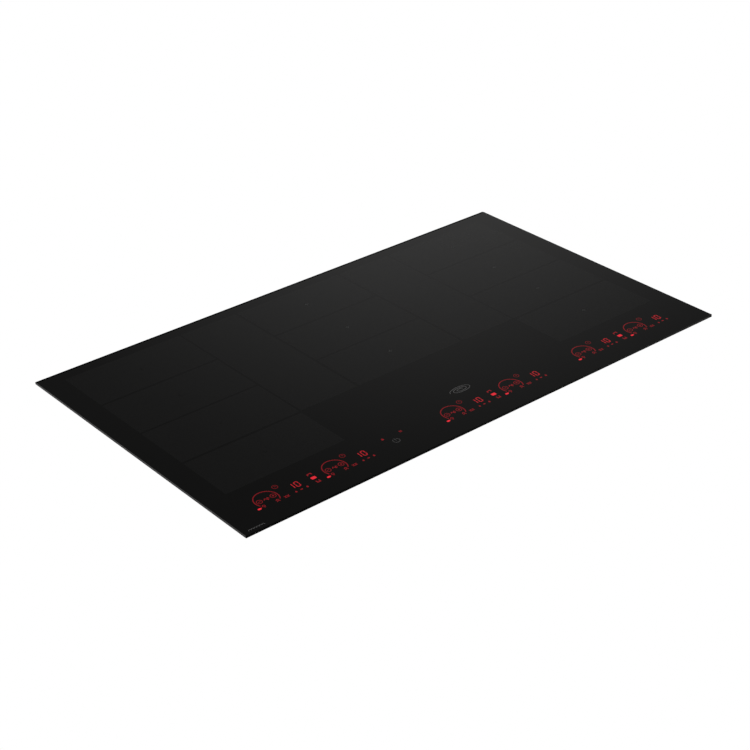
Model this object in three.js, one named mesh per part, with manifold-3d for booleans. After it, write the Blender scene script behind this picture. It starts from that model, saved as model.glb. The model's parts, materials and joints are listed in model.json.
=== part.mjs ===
// Built-in electric induction cooktop, 900 mm wide.
// Millimetres, +Z up, +X to the cook's right, +Y away from the cook.
// The origin is the centre of the casing's underside.
import * as THREE from 'three';
import { mergeVertices } from 'three/addons/utils/BufferGeometryUtils.js';
import Module from 'manifold-3d';

const wasm = await Module();
wasm.setup();

// ---- driving dimensions ----

const GAP = 0.3;                        // between neighbours that touch on the real object

const GLASS_WIDTH = 900;
const GLASS_DEPTH = 520;
const GLASS_THICK = 4;
const GLASS_UNDERSIDE = 52;
const GLASS_CORNER = 0.9;
const GLASS_SEAM = 0.2;                 // fine chamfer of the ground edges
const FACET_WIDTH = 5;                  // ground facet along the back edge
const FACET_DROP = 0.95;

const TAPE_INSET = 3;
const TAPE_WIDTH = 10;
const TAPE_UNDERSIDE = 50;              // the worktop's surface

const CASING_WIDTH = 856;               // for a cut-out of 860 x 490
const CASING_DEPTH = 486;
const CASING_CORNER = 6;
const CASING_WALL = 1;

const FRAME_WIDTH = 7.5;
const FRAME_UNDERSIDE = 49;
const FRAME_THICK = 1.5;

const CELL_WIDTH = 206;                 // one printed cooking cell
const CELL_DEPTH = 101.5;
const CELL_BACK = 238;                  // back line of the last row
const BLOCK_CENTRES = { left: -312.5, middle: 0, right: 312.5 };
const BLOCK_ROWS = { left: 4, middle: 3, right: 4 };

const COIL_WIDTH = 194;
const COIL_DEPTH = 92;
const COIL_EYE_WIDTH = 104;
const COIL_EYE_DEPTH = 16;
const COIL_THICK = 4;
const MICA_THICK = 0.5;
const FORMER_THICK = 1.5;
const TRAY_THICK = 1.2;
const TRAY_RIM = 3;

const ELECTRONICS_FLOOR = CASING_WALL + GAP;
const ELECTRONICS_FLOOR_THICK = 2;
const BOARD_LEVEL = 8;
const BOARD_THICK = 1.6;
const BOARD_FRONT = -90;
const BOARD_BACK = 150;
const BOARD_WIDTH = 190;

const SPRING_LENGTH = 60;
const SPRING_WIDTH = 16;
const SPRING_THICK = 0.8;
const SPRING_POSTS = [-130, 175];       // along Y
const POST_TOP = 33.7;

const FAN_SIZE = 100;
const FAN_HEIGHT = 30;
const FAN_FLOOR = 4;
const FAN_INLET_RADIUS = 33;
const FAN_CAVITY_RADIUS = 42;
const ROTOR_RADIUS = 38;
const ROTOR_BLADES = 16;
const FAN_CENTRES = { left: [-156, 60], right: [156, 60] };

const TOUCH_FRONT = -233;
const TOUCH_BACK = -187;
const TOUCH_SPANS = { left: [-410, -125], middle: [-78, 132], right: [186, 396] };

const TERMINAL_OPENING = { x: [-408, -338], z: [4.7, 37.7] };
const TERMINAL_HINGE = { y: 240, z: 8 };
const CABLE_OUTLET = { x: -316, z: 20, radius: 8 };

const CLIP_PLACES = [['left', 'front'], ['left', 'back'], ['right', 'front'], ['right', 'back']];
const CLIP_OFFSET = 150;                // along Y, either side of the middle
const CLIP_WIDTH = 30;
const CLIP_THICK = 0.9;
const CLIP_ROOT = 18;                   // height of its pivot

// ---- finishes ----

const finish = (color, roughness, metalness) =>
  new THREE.MeshStandardMaterial({ color, roughness, metalness });
const glassFinish = finish(0x0b0b0c, 0.08, 0);
const foamFinish = finish(0x1c1c1c, 0.95, 0);
const siliconeFinish = finish(0x141414, 0.6, 0);
const steelFinish = finish(0xb4b7ba, 0.42, 1);
const springFinish = finish(0xa8a9ab, 0.3, 1);
const aluminiumFinish = finish(0xcfd1d3, 0.35, 1);
const copperFinish = finish(0xb0683a, 0.45, 1);
const micaFinish = finish(0xbfb59a, 0.7, 0);
const plasticFinish = finish(0x202123, 0.6, 0);
const paleFinish = finish(0xd8d6cf, 0.55, 0);
const boardFinish = finish(0x1f5a34, 0.5, 0);

// ---- shape helpers ----

function solid(geometry) {
  const bare = geometry.clone();
  bare.deleteAttribute('normal');
  bare.deleteAttribute('uv');
  const merged = mergeVertices(bare, 1e-4);
  return new wasm.Manifold(new wasm.Mesh({
    numProp: 3,
    vertProperties: merged.attributes.position.array,
    triVerts: merged.index.array,
  }));
}

function geometryOf(manifold) {
  const mesh = manifold.getMesh();
  const geometry = new THREE.BufferGeometry();
  geometry.setAttribute('position', new THREE.BufferAttribute(mesh.vertProperties, 3));
  geometry.setIndex(new THREE.BufferAttribute(mesh.triVerts, 1));
  geometry.computeVertexNormals();
  return geometry;
}

const join = (geometries) => geometryOf(geometries.map(solid).reduce((whole, piece) => whole.add(piece)));

function cut(geometry, tools) {
  return geometryOf(tools.map(solid).reduce((whole, tool) => whole.subtract(tool), solid(geometry)));
}

function block([x0, x1], [y0, y1], [z0, z1]) {
  const geometry = new THREE.BoxGeometry(x1 - x0, y1 - y0, z1 - z0);
  return geometry.translate((x0 + x1) / 2, (y0 + y1) / 2, (z0 + z1) / 2);
}

const around = (centre, width) => [centre - width / 2, centre + width / 2];

function disc(x, y, radius, z0, z1, sides = 24) {
  const geometry = new THREE.CylinderGeometry(radius, radius, z1 - z0, sides);
  return geometry.rotateX(Math.PI / 2).translate(x, y, (z0 + z1) / 2);
}

function roundedRect(x, y, width, depth, radius, Kind = THREE.Shape) {
  const outline = new Kind();
  const [left, right] = around(x, width);
  const [front, back] = around(y, depth);
  outline.moveTo(left + radius, front);
  outline.absarc(right - radius, front + radius, radius, -Math.PI / 2, 0);
  outline.absarc(right - radius, back - radius, radius, 0, Math.PI / 2);
  outline.absarc(left + radius, back - radius, radius, Math.PI / 2, Math.PI);
  outline.absarc(left + radius, front + radius, radius, Math.PI, 1.5 * Math.PI);
  return outline;
}

function plate(shape, z0, z1, curveSegments = 4) {
  const geometry = new THREE.ExtrudeGeometry(shape, { depth: z1 - z0, bevelEnabled: false, curveSegments });
  return geometry.translate(0, 0, z0);
}

// A flat band round a rectangle, between an outer outline and one set in by its width.
function band(width, depth, radius, bandWidth, z0, z1) {
  const shape = roundedRect(0, 0, width, depth, radius);
  const inner = roundedRect(0, 0, width - 2 * bandWidth, depth - 2 * bandWidth, 1, THREE.Path);
  shape.holes.push(inner);
  return plate(shape, z0, z1, 3);
}

// An outline in the XZ plane, pulled along Y between two places.
function pulledAlongY(points, y0, y1) {
  const shape = new THREE.Shape(points.map(([x, z]) => new THREE.Vector2(x, z)));
  const geometry = new THREE.ExtrudeGeometry(shape, { depth: y1 - y0, bevelEnabled: false });
  return geometry.rotateX(Math.PI / 2).translate(0, y1, 0);
}

const cooktop = new THREE.Group();

function add(name, geometry, material) {
  const mesh = new THREE.Mesh(geometry, material);
  mesh.name = name;
  cooktop.add(mesh);
}

// ---- glass, tape and frame ----

function glassTop() {
  const shape = roundedRect(
    0, 0, GLASS_WIDTH - 2 * GLASS_SEAM, GLASS_DEPTH - 2 * GLASS_SEAM, GLASS_CORNER - GLASS_SEAM,
  );
  const slab = new THREE.ExtrudeGeometry(shape, {
    depth: GLASS_THICK - 2 * GLASS_SEAM,
    bevelThickness: GLASS_SEAM,
    bevelSize: GLASS_SEAM,
    bevelSegments: 1,
    curveSegments: 4,
  }).translate(0, 0, GLASS_UNDERSIDE + GLASS_SEAM);
  const top = GLASS_UNDERSIDE + GLASS_THICK;
  const back = GLASS_DEPTH / 2;
  const slope = FACET_DROP / FACET_WIDTH;
  const profile = new THREE.Shape([
    new THREE.Vector2(back - FACET_WIDTH - 1, top + slope),
    new THREE.Vector2(back + 1, top - FACET_DROP - slope),
    new THREE.Vector2(back + 1, top + 2),
    new THREE.Vector2(back - FACET_WIDTH - 1, top + 2),
  ]);
  const wedge = new THREE.ExtrudeGeometry(profile, { depth: GLASS_WIDTH + 2, bevelEnabled: false });
  wedge.rotateX(Math.PI / 2).rotateZ(Math.PI / 2).translate(-GLASS_WIDTH / 2 - 1, 0, 0);
  return cut(slab, [wedge]);
}

add('glass_top', glassTop(), glassFinish);
add(
  'sealing_tape',
  band(
    GLASS_WIDTH - 2 * TAPE_INSET, GLASS_DEPTH - 2 * TAPE_INSET, 3, TAPE_WIDTH,
    TAPE_UNDERSIDE, GLASS_UNDERSIDE - GAP,
  ),
  foamFinish,
);
add(
  'glass_adhesive',
  band(
    CASING_WIDTH - 2, CASING_DEPTH - 2, CASING_CORNER - 1, FRAME_WIDTH - 2,
    FRAME_UNDERSIDE + FRAME_THICK + GAP, GLASS_UNDERSIDE - GAP,
  ),
  siliconeFinish,
);
add(
  'support_frame',
  band(
    CASING_WIDTH, CASING_DEPTH, CASING_CORNER, FRAME_WIDTH,
    FRAME_UNDERSIDE, FRAME_UNDERSIDE + FRAME_THICK,
  ),
  steelFinish,
);

// ---- casing ----

const wallOutside = { x: CASING_WIDTH / 2, y: CASING_DEPTH / 2 };

function slotRow(xs, y, z, [width, depth, height]) {
  return xs.map((x) => block(around(x, width), around(y, depth), around(z, height)));
}

const evenly = (count, pitch, centre = 0) => (
  Array.from({ length: count }, (_, i) => centre + (i - (count - 1) / 2) * pitch)
);

// Intake slots in the floor under each fan, shorter towards the front and back of the round inlet.
function intakeSlots([x, y]) {
  return evenly(9, 7).map((offset) => {
    const length = 2 * Math.sqrt(FAN_INLET_RADIUS ** 2 - offset ** 2);
    return block(around(x, length), around(y + offset, 3.4), [-1, CASING_WALL + 1]);
  });
}

// Small lugs behind the back wall that hold the terminal cover's pins.
function hingeLugs() {
  const { y, z } = TERMINAL_HINGE;
  const [left, right] = TERMINAL_OPENING.x;
  return [[left - 3, left], [right, right + 3]].map((xs) => (
    block(xs, [y - 3, wallOutside.y - CASING_WALL / 2], around(z, 6))
  ));
}

// A short ledge outside the side wall that each spring clip's root sits on.
function clipLedges() {
  return CLIP_PLACES.map(([side, end]) => {
    const sign = side === 'left' ? -1 : 1;
    const y = end === 'front' ? -CLIP_OFFSET : CLIP_OFFSET;
    const reach = [wallOutside.x - CASING_WALL / 2, wallOutside.x + 2];
    const xs = reach.map((x) => sign * x).sort((a, b) => a - b);
    return block(xs, around(y, CLIP_WIDTH + 6), [CLIP_ROOT - 5, CLIP_ROOT - 2.2]);
  });
}

function basePan() {
  const top = FRAME_UNDERSIDE - GAP;
  const outer = plate(roundedRect(0, 0, CASING_WIDTH, CASING_DEPTH, CASING_CORNER), 0, top);
  const inside = plate(
    roundedRect(
      0, 0, CASING_WIDTH - 2 * CASING_WALL, CASING_DEPTH - 2 * CASING_WALL, CASING_CORNER - CASING_WALL,
    ),
    CASING_WALL, top + 1,
  );
  const shell = cut(outer, [inside]);
  const withLugs = join([shell, ...hingeLugs(), ...clipLedges()]);
  const { y, z } = TERMINAL_HINGE;
  const [left, right] = TERMINAL_OPENING.x;
  const pinHole = new THREE.CylinderGeometry(1.3, 1.3, right - left + 8, 12);
  pinHole.rotateZ(Math.PI / 2).translate((left + right) / 2, y, z);
  const outlet = new THREE.CylinderGeometry(CABLE_OUTLET.radius, CABLE_OUTLET.radius, 6, 20);
  outlet.translate(CABLE_OUTLET.x, wallOutside.y, CABLE_OUTLET.z);
  return cut(withLugs, [
    ...Object.values(FAN_CENTRES).flatMap(intakeSlots),
    ...slotRow(evenly(18, 8, 20), wallOutside.y, 26, [3.4, 6, 24]),
    ...slotRow(evenly(18, 8, 240), wallOutside.y, 26, [3.4, 6, 24]),
    ...slotRow(evenly(14, 8, -200), wallOutside.y, 26, [3.4, 6, 24]),
    ...slotRow(evenly(16, 8, -156), -wallOutside.y, 22, [3.4, 6, 20]),
    ...slotRow(evenly(16, 8, 156), -wallOutside.y, 22, [3.4, 6, 20]),
    block(TERMINAL_OPENING.x, [wallOutside.y - 2, wallOutside.y + 2], TERMINAL_OPENING.z),
    pinHole,
    outlet,
  ]);
}

add('base_pan', basePan(), steelFinish);

// ---- coils, formers, trays and mica, one set under each printed block ----

const coilTop = GLASS_UNDERSIDE - GAP - MICA_THICK - GAP;
const coilUnderside = coilTop - COIL_THICK;
const formerUnderside = coilUnderside - GAP - FORMER_THICK;
const trayUnderside = formerUnderside - GAP - TRAY_THICK;

const rowCentre = (rows, row) => CELL_BACK - CELL_DEPTH * (rows - row - 0.5);

function coil(x, y) {
  const winding = roundedRect(x, y, COIL_WIDTH, COIL_DEPTH, 42);
  winding.holes.push(roundedRect(x, y, COIL_EYE_WIDTH, COIL_EYE_DEPTH, 7.5, THREE.Path));
  return plate(winding, coilUnderside, coilTop, 4);
}

function coilFormer(x, rowYs, [front, back]) {
  const base = plate(
    roundedRect(x, (front + back) / 2, CELL_WIDTH - 8, back - front - 8, 5),
    formerUnderside, formerUnderside + FORMER_THICK, 3,
  );
  const eyes = rowYs.map((y) => plate(
    roundedRect(x, y, COIL_EYE_WIDTH - 4, COIL_EYE_DEPTH - 4, 5),
    formerUnderside + FORMER_THICK / 2, coilTop - 0.5, 2,
  ));
  return join([base, ...eyes]);
}

function coilTray(x, [front, back]) {
  const middle = (front + back) / 2;
  const outer = plate(
    roundedRect(x, middle, CELL_WIDTH - 2, back - front - 2, 4),
    trayUnderside, trayUnderside + TRAY_THICK + TRAY_RIM, 3,
  );
  const inside = plate(
    roundedRect(x, middle, CELL_WIDTH - 2 - 2 * TRAY_THICK, back - front - 2 - 2 * TRAY_THICK, 3),
    trayUnderside + TRAY_THICK, trayUnderside + TRAY_THICK + TRAY_RIM + 1, 3,
  );
  return cut(outer, [inside]);
}

// A bowed leaf spring: two feet on the post, the crown under the tray.
function bowSpring(x, y) {
  const foot = POST_TOP + GAP;
  const rise = trayUnderside - GAP - SPRING_THICK - foot;
  const steps = 10;
  const line = Array.from({ length: steps + 1 }, (_, i) => {
    const across = i / steps - 0.5;
    return [x + across * SPRING_LENGTH, foot + rise * Math.cos(across * Math.PI) ** 0.8];
  });
  const above = line.map(([px, pz]) => [px, pz + SPRING_THICK]).reverse();
  return pulledAlongY([...line, ...above], y - SPRING_WIDTH / 2, y + SPRING_WIDTH / 2);
}

for (const [name, x] of Object.entries(BLOCK_CENTRES)) {
  const rows = BLOCK_ROWS[name];
  const rowYs = Array.from({ length: rows }, (_, row) => rowCentre(rows, row));
  const span = [CELL_BACK - rows * CELL_DEPTH, CELL_BACK];
  rowYs.forEach((y, row) => add(`coil_${name}_${row + 1}`, coil(x, y), copperFinish));
  add(`coil_former_${name}`, coilFormer(x, rowYs, span), paleFinish);
  add(`coil_tray_${name}`, coilTray(x, span), aluminiumFinish);
  add(
    `mica_sheet_${name}`,
    block(around(x, CELL_WIDTH - 8), [span[0] + 4, span[1] - 4], [coilTop + GAP, coilTop + GAP + MICA_THICK]),
    micaFinish,
  );
  SPRING_POSTS.forEach((y, i) => {
    add(`tray_spring_${name}_${i ? 'back' : 'front'}`, bowSpring(x, y), springFinish);
  });
}

// ---- electronics ----

const boardSpans = {
  left: around(BLOCK_CENTRES.left, BOARD_WIDTH),
  middle: around(BLOCK_CENTRES.middle, BOARD_WIDTH),
  right: around(BLOCK_CENTRES.right, BOARD_WIDTH),
};
const filterSpan = { x: [-272, -110], y: [178, 232] };
const floorTop = ELECTRONICS_FLOOR + ELECTRONICS_FLOOR_THICK;

function standoffs([x0, x1], [y0, y1]) {
  const corners = [x0 + 8, x1 - 8].flatMap((x) => [y0 + 8, y1 - 8].map((y) => [x, y]));
  return corners.map(([x, y]) => block(around(x, 7), around(y, 7), [floorTop - 1, BOARD_LEVEL - GAP]));
}

function electronicsTray() {
  const outline = roundedRect(0, 0, CASING_WIDTH - 6, CASING_DEPTH - 14, 5);
  const floor = plate(outline, ELECTRONICS_FLOOR, floorTop, 3);
  const posts = Object.values(BLOCK_CENTRES).flatMap((x) => SPRING_POSTS.map((y) => (
    block(around(x, SPRING_LENGTH + 6), around(y, SPRING_WIDTH + 4), [floorTop - 1, POST_TOP])
  )));
  const feet = [
    ...Object.values(boardSpans).flatMap((xs) => standoffs(xs, [BOARD_FRONT, BOARD_BACK])),
    ...standoffs(filterSpan.x, filterSpan.y),
  ];
  const whole = join([floor, ...posts, ...feet]);
  return cut(whole, Object.values(FAN_CENTRES).map(([x, y]) => (
    disc(x, y, FAN_INLET_RADIUS + 3, 0, floorTop + 1)
  )));
}

// Finned aluminium profile: a flat sole with upright fins, running along Y.
function heatSink(x) {
  const fins = 7;
  const width = 46;
  const finThick = 2;
  const pitch = (width - finThick) / (fins - 1);
  const sole = BOARD_LEVEL + BOARD_THICK + GAP;
  const points = [[x - width / 2, sole], [x + width / 2, sole]];
  for (let i = fins - 1; i >= 0; i -= 1) {
    const left = x - width / 2 + i * pitch;
    points.push([left + finThick, sole + 26], [left, sole + 26]);
    if (i > 0) points.push([left, sole + 4], [left - pitch + finThick, sole + 4]);
  }
  return pulledAlongY(points, BOARD_FRONT + 40, BOARD_BACK - 20);
}

add('electronics_tray', electronicsTray(), plasticFinish);
const heatSinkOffsets = { left: 66, middle: 0, right: -66 };
for (const [name, xs] of Object.entries(boardSpans)) {
  add(
    `power_board_${name}`,
    block(xs, [BOARD_FRONT, BOARD_BACK], [BOARD_LEVEL, BOARD_LEVEL + BOARD_THICK]),
    boardFinish,
  );
  add(`heat_sink_${name}`, heatSink(BLOCK_CENTRES[name] + heatSinkOffsets[name]), aluminiumFinish);
}
add(
  'filter_board',
  block(filterSpan.x, filterSpan.y, [BOARD_LEVEL, BOARD_LEVEL + BOARD_THICK]),
  boardFinish,
);

// Ring core of the mains filter, lying on its board.
function filterChoke() {
  const half = 9;
  const middle = BOARD_LEVEL + BOARD_THICK + GAP + half;
  const section = [
    [9, -half + 2], [11, -half], [18, -half], [20, -half + 2],
    [20, half - 2], [18, half], [11, half], [9, half - 2], [9, -half + 2],
  ].map(([radius, z]) => new THREE.Vector2(radius, z));
  return new THREE.LatheGeometry(section, 16).rotateX(Math.PI / 2).translate(-190, 205, middle);
}

add('filter_choke', filterChoke(), copperFinish);

// ---- fans ----

function fanHousing([x, y]) {
  const top = FAN_FLOOR + FAN_HEIGHT;
  const outer = plate(roundedRect(x, y, FAN_SIZE, FAN_SIZE, 10), FAN_FLOOR, top);
  const towardsBoard = Math.sign(x) * (FAN_SIZE / 2);
  const mouth = [x, x + towardsBoard * 1.2].sort((a, b) => a - b);
  const shell = cut(outer, [
    disc(x, y, FAN_CAVITY_RADIUS, FAN_FLOOR + 2, top - 2, 32),
    disc(x, y, FAN_INLET_RADIUS, FAN_FLOOR - 1, FAN_FLOOR + 3),
    block(mouth, [y, y + FAN_CAVITY_RADIUS - 1], [FAN_FLOOR + 2, top - 2]),
  ]);
  return join([shell, disc(x, y, 3, FAN_FLOOR + 8, top - 1, 12)]);
}

// Drum rotor: a hub with its bore, a back disc, and blades round the rim tied by a lower ring.
function fanRotor([x, y]) {
  const top = FAN_FLOOR + FAN_HEIGHT - 3.2;
  const foot = FAN_FLOOR + 4;
  const blades = Array.from({ length: ROTOR_BLADES }, (_, i) => {
    const blade = block([ROTOR_RADIUS - 9, ROTOR_RADIUS - 0.5], around(0, 1), [foot + 0.5, top - 0.5]);
    return blade.rotateZ((i / ROTOR_BLADES) * 2 * Math.PI).translate(x, y, 0);
  });
  const backDisc = disc(x, y, ROTOR_RADIUS, top - 1.5, top, 32);
  const hub = disc(x, y, 15, foot + 6, top - 0.5, 20);
  const hoop = cut(disc(x, y, ROTOR_RADIUS, foot, foot + 2, 32), [
    disc(x, y, ROTOR_RADIUS - 3, foot - 1, foot + 3, 32),
  ]);
  return cut(join([backDisc, hub, hoop, ...blades]), [disc(x, y, 3.5, foot - 1, top + 1, 12)]);
}

for (const [name, centre] of Object.entries(FAN_CENTRES)) {
  add(`fan_housing_${name}`, fanHousing(centre), plasticFinish);
  add(`fan_rotor_${name}`, fanRotor(centre), plasticFinish);
}

// ---- touch controls ----

const touchTop = GLASS_UNDERSIDE - GAP;

function touchCarrier([x0, x1]) {
  const rim = [touchTop - BOARD_THICK - GAP - 7, touchTop - BOARD_THICK - GAP];
  const tub = block([x0, x1], [TOUCH_FRONT, TOUCH_BACK], rim);
  const legs = [x0 + 12, x1 - 12].flatMap((x) => [TOUCH_FRONT + 10, TOUCH_BACK - 10].map((y) => (
    block(around(x, 8), around(y, 8), [floorTop + GAP, rim[0] + 1])
  )));
  const pocket = block([x0 + 3, x1 - 3], [TOUCH_FRONT + 3, TOUCH_BACK - 3], [rim[0] + 1.5, rim[1] + 1]);
  return cut(join([tub, ...legs]), [pocket]);
}

for (const [name, xs] of Object.entries(TOUCH_SPANS)) {
  add(
    `touch_board_${name}`,
    block([xs[0] + 1, xs[1] - 1], [TOUCH_FRONT + 1, TOUCH_BACK - 1], [touchTop - BOARD_THICK, touchTop]),
    boardFinish,
  );
  add(`touch_carrier_${name}`, touchCarrier(xs), paleFinish);
}

// ---- mains connection ----

function terminalBlock() {
  const body = block([-402, -346], [206, 230], [floorTop + GAP, 27]);
  const bays = evenly(5, 10.4, -374).map((x) => block(around(x, 7.6), [219, 232], [9, 28]));
  return cut(body, bays);
}

// A saddle over the cable, in line with the outlet.
function cableClamp() {
  const { x, z, radius } = CABLE_OUTLET;
  const body = block(around(x, 34), [222, 233], [floorTop + GAP, z + radius + 3]);
  const bore = new THREE.CylinderGeometry(radius, radius, 20, 20).translate(x, 228, z);
  return cut(body, [bore]);
}

function terminalCover() {
  const clearance = 0.8;
  const [left, right] = TERMINAL_OPENING.x;
  const [low, high] = TERMINAL_OPENING.z;
  const xs = [left + clearance, right - clearance];
  const panel = block(xs, [wallOutside.y - 2.2, wallOutside.y - 0.2], [low + clearance, high - clearance]);
  const rim = block(xs, [TERMINAL_HINGE.y - 1.5, wallOutside.y - 1], around(TERMINAL_HINGE.z, 3));
  const grip = block(around((left + right) / 2, 22), [wallOutside.y - 1, wallOutside.y + 1], [31, 33.5]);
  const pins = new THREE.CylinderGeometry(1, 1, right - left + 3.4, 10);
  pins.rotateZ(Math.PI / 2).translate((left + right) / 2, TERMINAL_HINGE.y, TERMINAL_HINGE.z);
  return join([panel, rim, grip, pins]);
}

add('terminal_block', terminalBlock(), paleFinish);
add('cable_clamp', cableClamp(), plasticFinish);
add('terminal_cover', terminalCover(), plasticFinish);

// ---- spring clips on the side walls ----

// The strip leans out from its root, past the cut-out's edge, and turns upright at its tip.
function springClip(side, y) {
  const sign = side === 'left' ? -1 : 1;
  const line = [[0.5, -1.6], [0.5, 3], [1.8, 10], [3.4, 17], [3.8, 19.5], [3.7, 21.5], [3.5, 22.5]];
  const out = line.map(([dx, dz]) => [dx + CLIP_THICK, dz]).reverse();
  const points = [...line, ...out].map(([dx, dz]) => [sign * (wallOutside.x + dx), CLIP_ROOT + dz]);
  if (sign < 0) points.reverse();
  return pulledAlongY(points, y - CLIP_WIDTH / 2, y + CLIP_WIDTH / 2);
}

for (const [side, end] of CLIP_PLACES) {
  const y = end === 'front' ? -CLIP_OFFSET : CLIP_OFFSET;
  add(`spring_clip_${side}_${end}`, springClip(side, y), springFinish);
}

export default cooktop;
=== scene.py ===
import json
import math

import bpy
import bmesh
from mathutils import Matrix, Vector


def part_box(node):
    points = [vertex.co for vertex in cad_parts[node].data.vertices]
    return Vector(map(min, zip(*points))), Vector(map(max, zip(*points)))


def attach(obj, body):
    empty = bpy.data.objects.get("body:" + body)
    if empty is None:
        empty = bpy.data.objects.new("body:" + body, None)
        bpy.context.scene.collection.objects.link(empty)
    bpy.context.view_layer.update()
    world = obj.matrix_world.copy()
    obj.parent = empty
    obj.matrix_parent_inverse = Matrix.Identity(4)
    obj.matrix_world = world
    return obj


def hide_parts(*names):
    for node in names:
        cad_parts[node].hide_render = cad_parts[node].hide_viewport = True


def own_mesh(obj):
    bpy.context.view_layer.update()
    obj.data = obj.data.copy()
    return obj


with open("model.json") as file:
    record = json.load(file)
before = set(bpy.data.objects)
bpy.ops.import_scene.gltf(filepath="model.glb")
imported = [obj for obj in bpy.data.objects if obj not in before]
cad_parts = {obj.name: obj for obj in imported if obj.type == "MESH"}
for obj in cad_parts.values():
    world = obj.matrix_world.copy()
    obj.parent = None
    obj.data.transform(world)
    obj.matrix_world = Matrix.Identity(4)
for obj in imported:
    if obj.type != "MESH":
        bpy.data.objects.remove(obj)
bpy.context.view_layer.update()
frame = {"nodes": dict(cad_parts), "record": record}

# Looks of a built-in induction cooktop. Lengths are in metres; MM turns millimetres into metres.
# Flat artwork is drawn in millimetres and laid on the glass.

MM = 0.001
NODES = frame["nodes"]
GLASS_LOW, GLASS_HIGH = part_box("glass_top")
PAN_LOW, PAN_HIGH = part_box("base_pan")
MIDDLE = (GLASS_LOW + GLASS_HIGH) / 2

# ---- print on the glass, in millimetres from the glass's front left corner ----

CELL = (206.0, 101.5)                   # one cooking cell
CELL_FRONT = 92.0                       # front line of the first row
BRIDGE_WIDTH = 106.5                    # plain area between two blocks
BRIDGE_OFFSET = 156.25                  # its centre, from the middle of the glass
LINE = 3.8                              # dark line left between two printed areas
BLOCKS = (("left", -312.5, 4), ("middle", 0.0, 3), ("right", 312.5, 4))
ROWS = 4
PRINT_THICK = 0.03
PRINT_SINK = 0.01                       # how deep a print starts below the glass surface

# ---- touch controls: six equal groups in three pairs ----

GROUP_CENTRES = (69.9, 184.9, 400.2, 513.8, 665.0, 778.4)
GROUP_Y = 49.6
LINK_OFFSET = (77.5, -1.2)              # link symbols, from the centre of a pair's first group
DIAL_RADIUS = 17.9
LOCK_PLACE = (278.2, 60.0)
PAUSE_PLACE = (311.0, 60.7)
POWER_PLACE = (291.2, 46.2)
COIL_PICTOGRAM_PLACE = (452.0, 90.0)
CORNER_PICTOGRAM = ((8.6, 6.4), (35.2, 6.4))    # the two ends of its row of loops

# ---- camera ----

CAMERA_AZIMUTH = -39.73
CAMERA_ELEVATION = 29.86
CAMERA_ROLL = -0.94
CAMERA_DISTANCE = 2.5165
CAMERA_LENS = 82.28
CAMERA_TARGET = Vector((-0.0642, -0.0562, GLASS_HIGH.z))


def direction(azimuth, elevation):
    """Unit vector from the object towards a viewer; azimuth 0 is in front, 90 to the right."""
    a, e = math.radians(azimuth), math.radians(elevation)
    return Vector((math.sin(a) * math.cos(e), -math.cos(a) * math.cos(e), math.sin(e)))


def make_camera():
    back = direction(CAMERA_AZIMUTH, CAMERA_ELEVATION)
    level = Vector((0, 0, 1)).cross(back).normalized()
    upright = back.cross(level)
    roll = math.radians(CAMERA_ROLL)
    right = level * math.cos(roll) + upright * math.sin(roll)
    up = upright * math.cos(roll) - level * math.sin(roll)
    camera = bpy.data.objects.new("camera", bpy.data.cameras.new("camera"))
    camera.data.lens = CAMERA_LENS
    camera.data.sensor_width = 36
    camera.data.clip_start = 0.05
    camera.data.clip_end = 50
    turn = Matrix((right, up, back)).transposed().to_4x4()
    camera.matrix_world = Matrix.Translation(CAMERA_TARGET + back * CAMERA_DISTANCE) @ turn
    bpy.context.scene.collection.objects.link(camera)
    bpy.context.scene.camera = camera


make_camera()

# ---- node graphs ----


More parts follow.
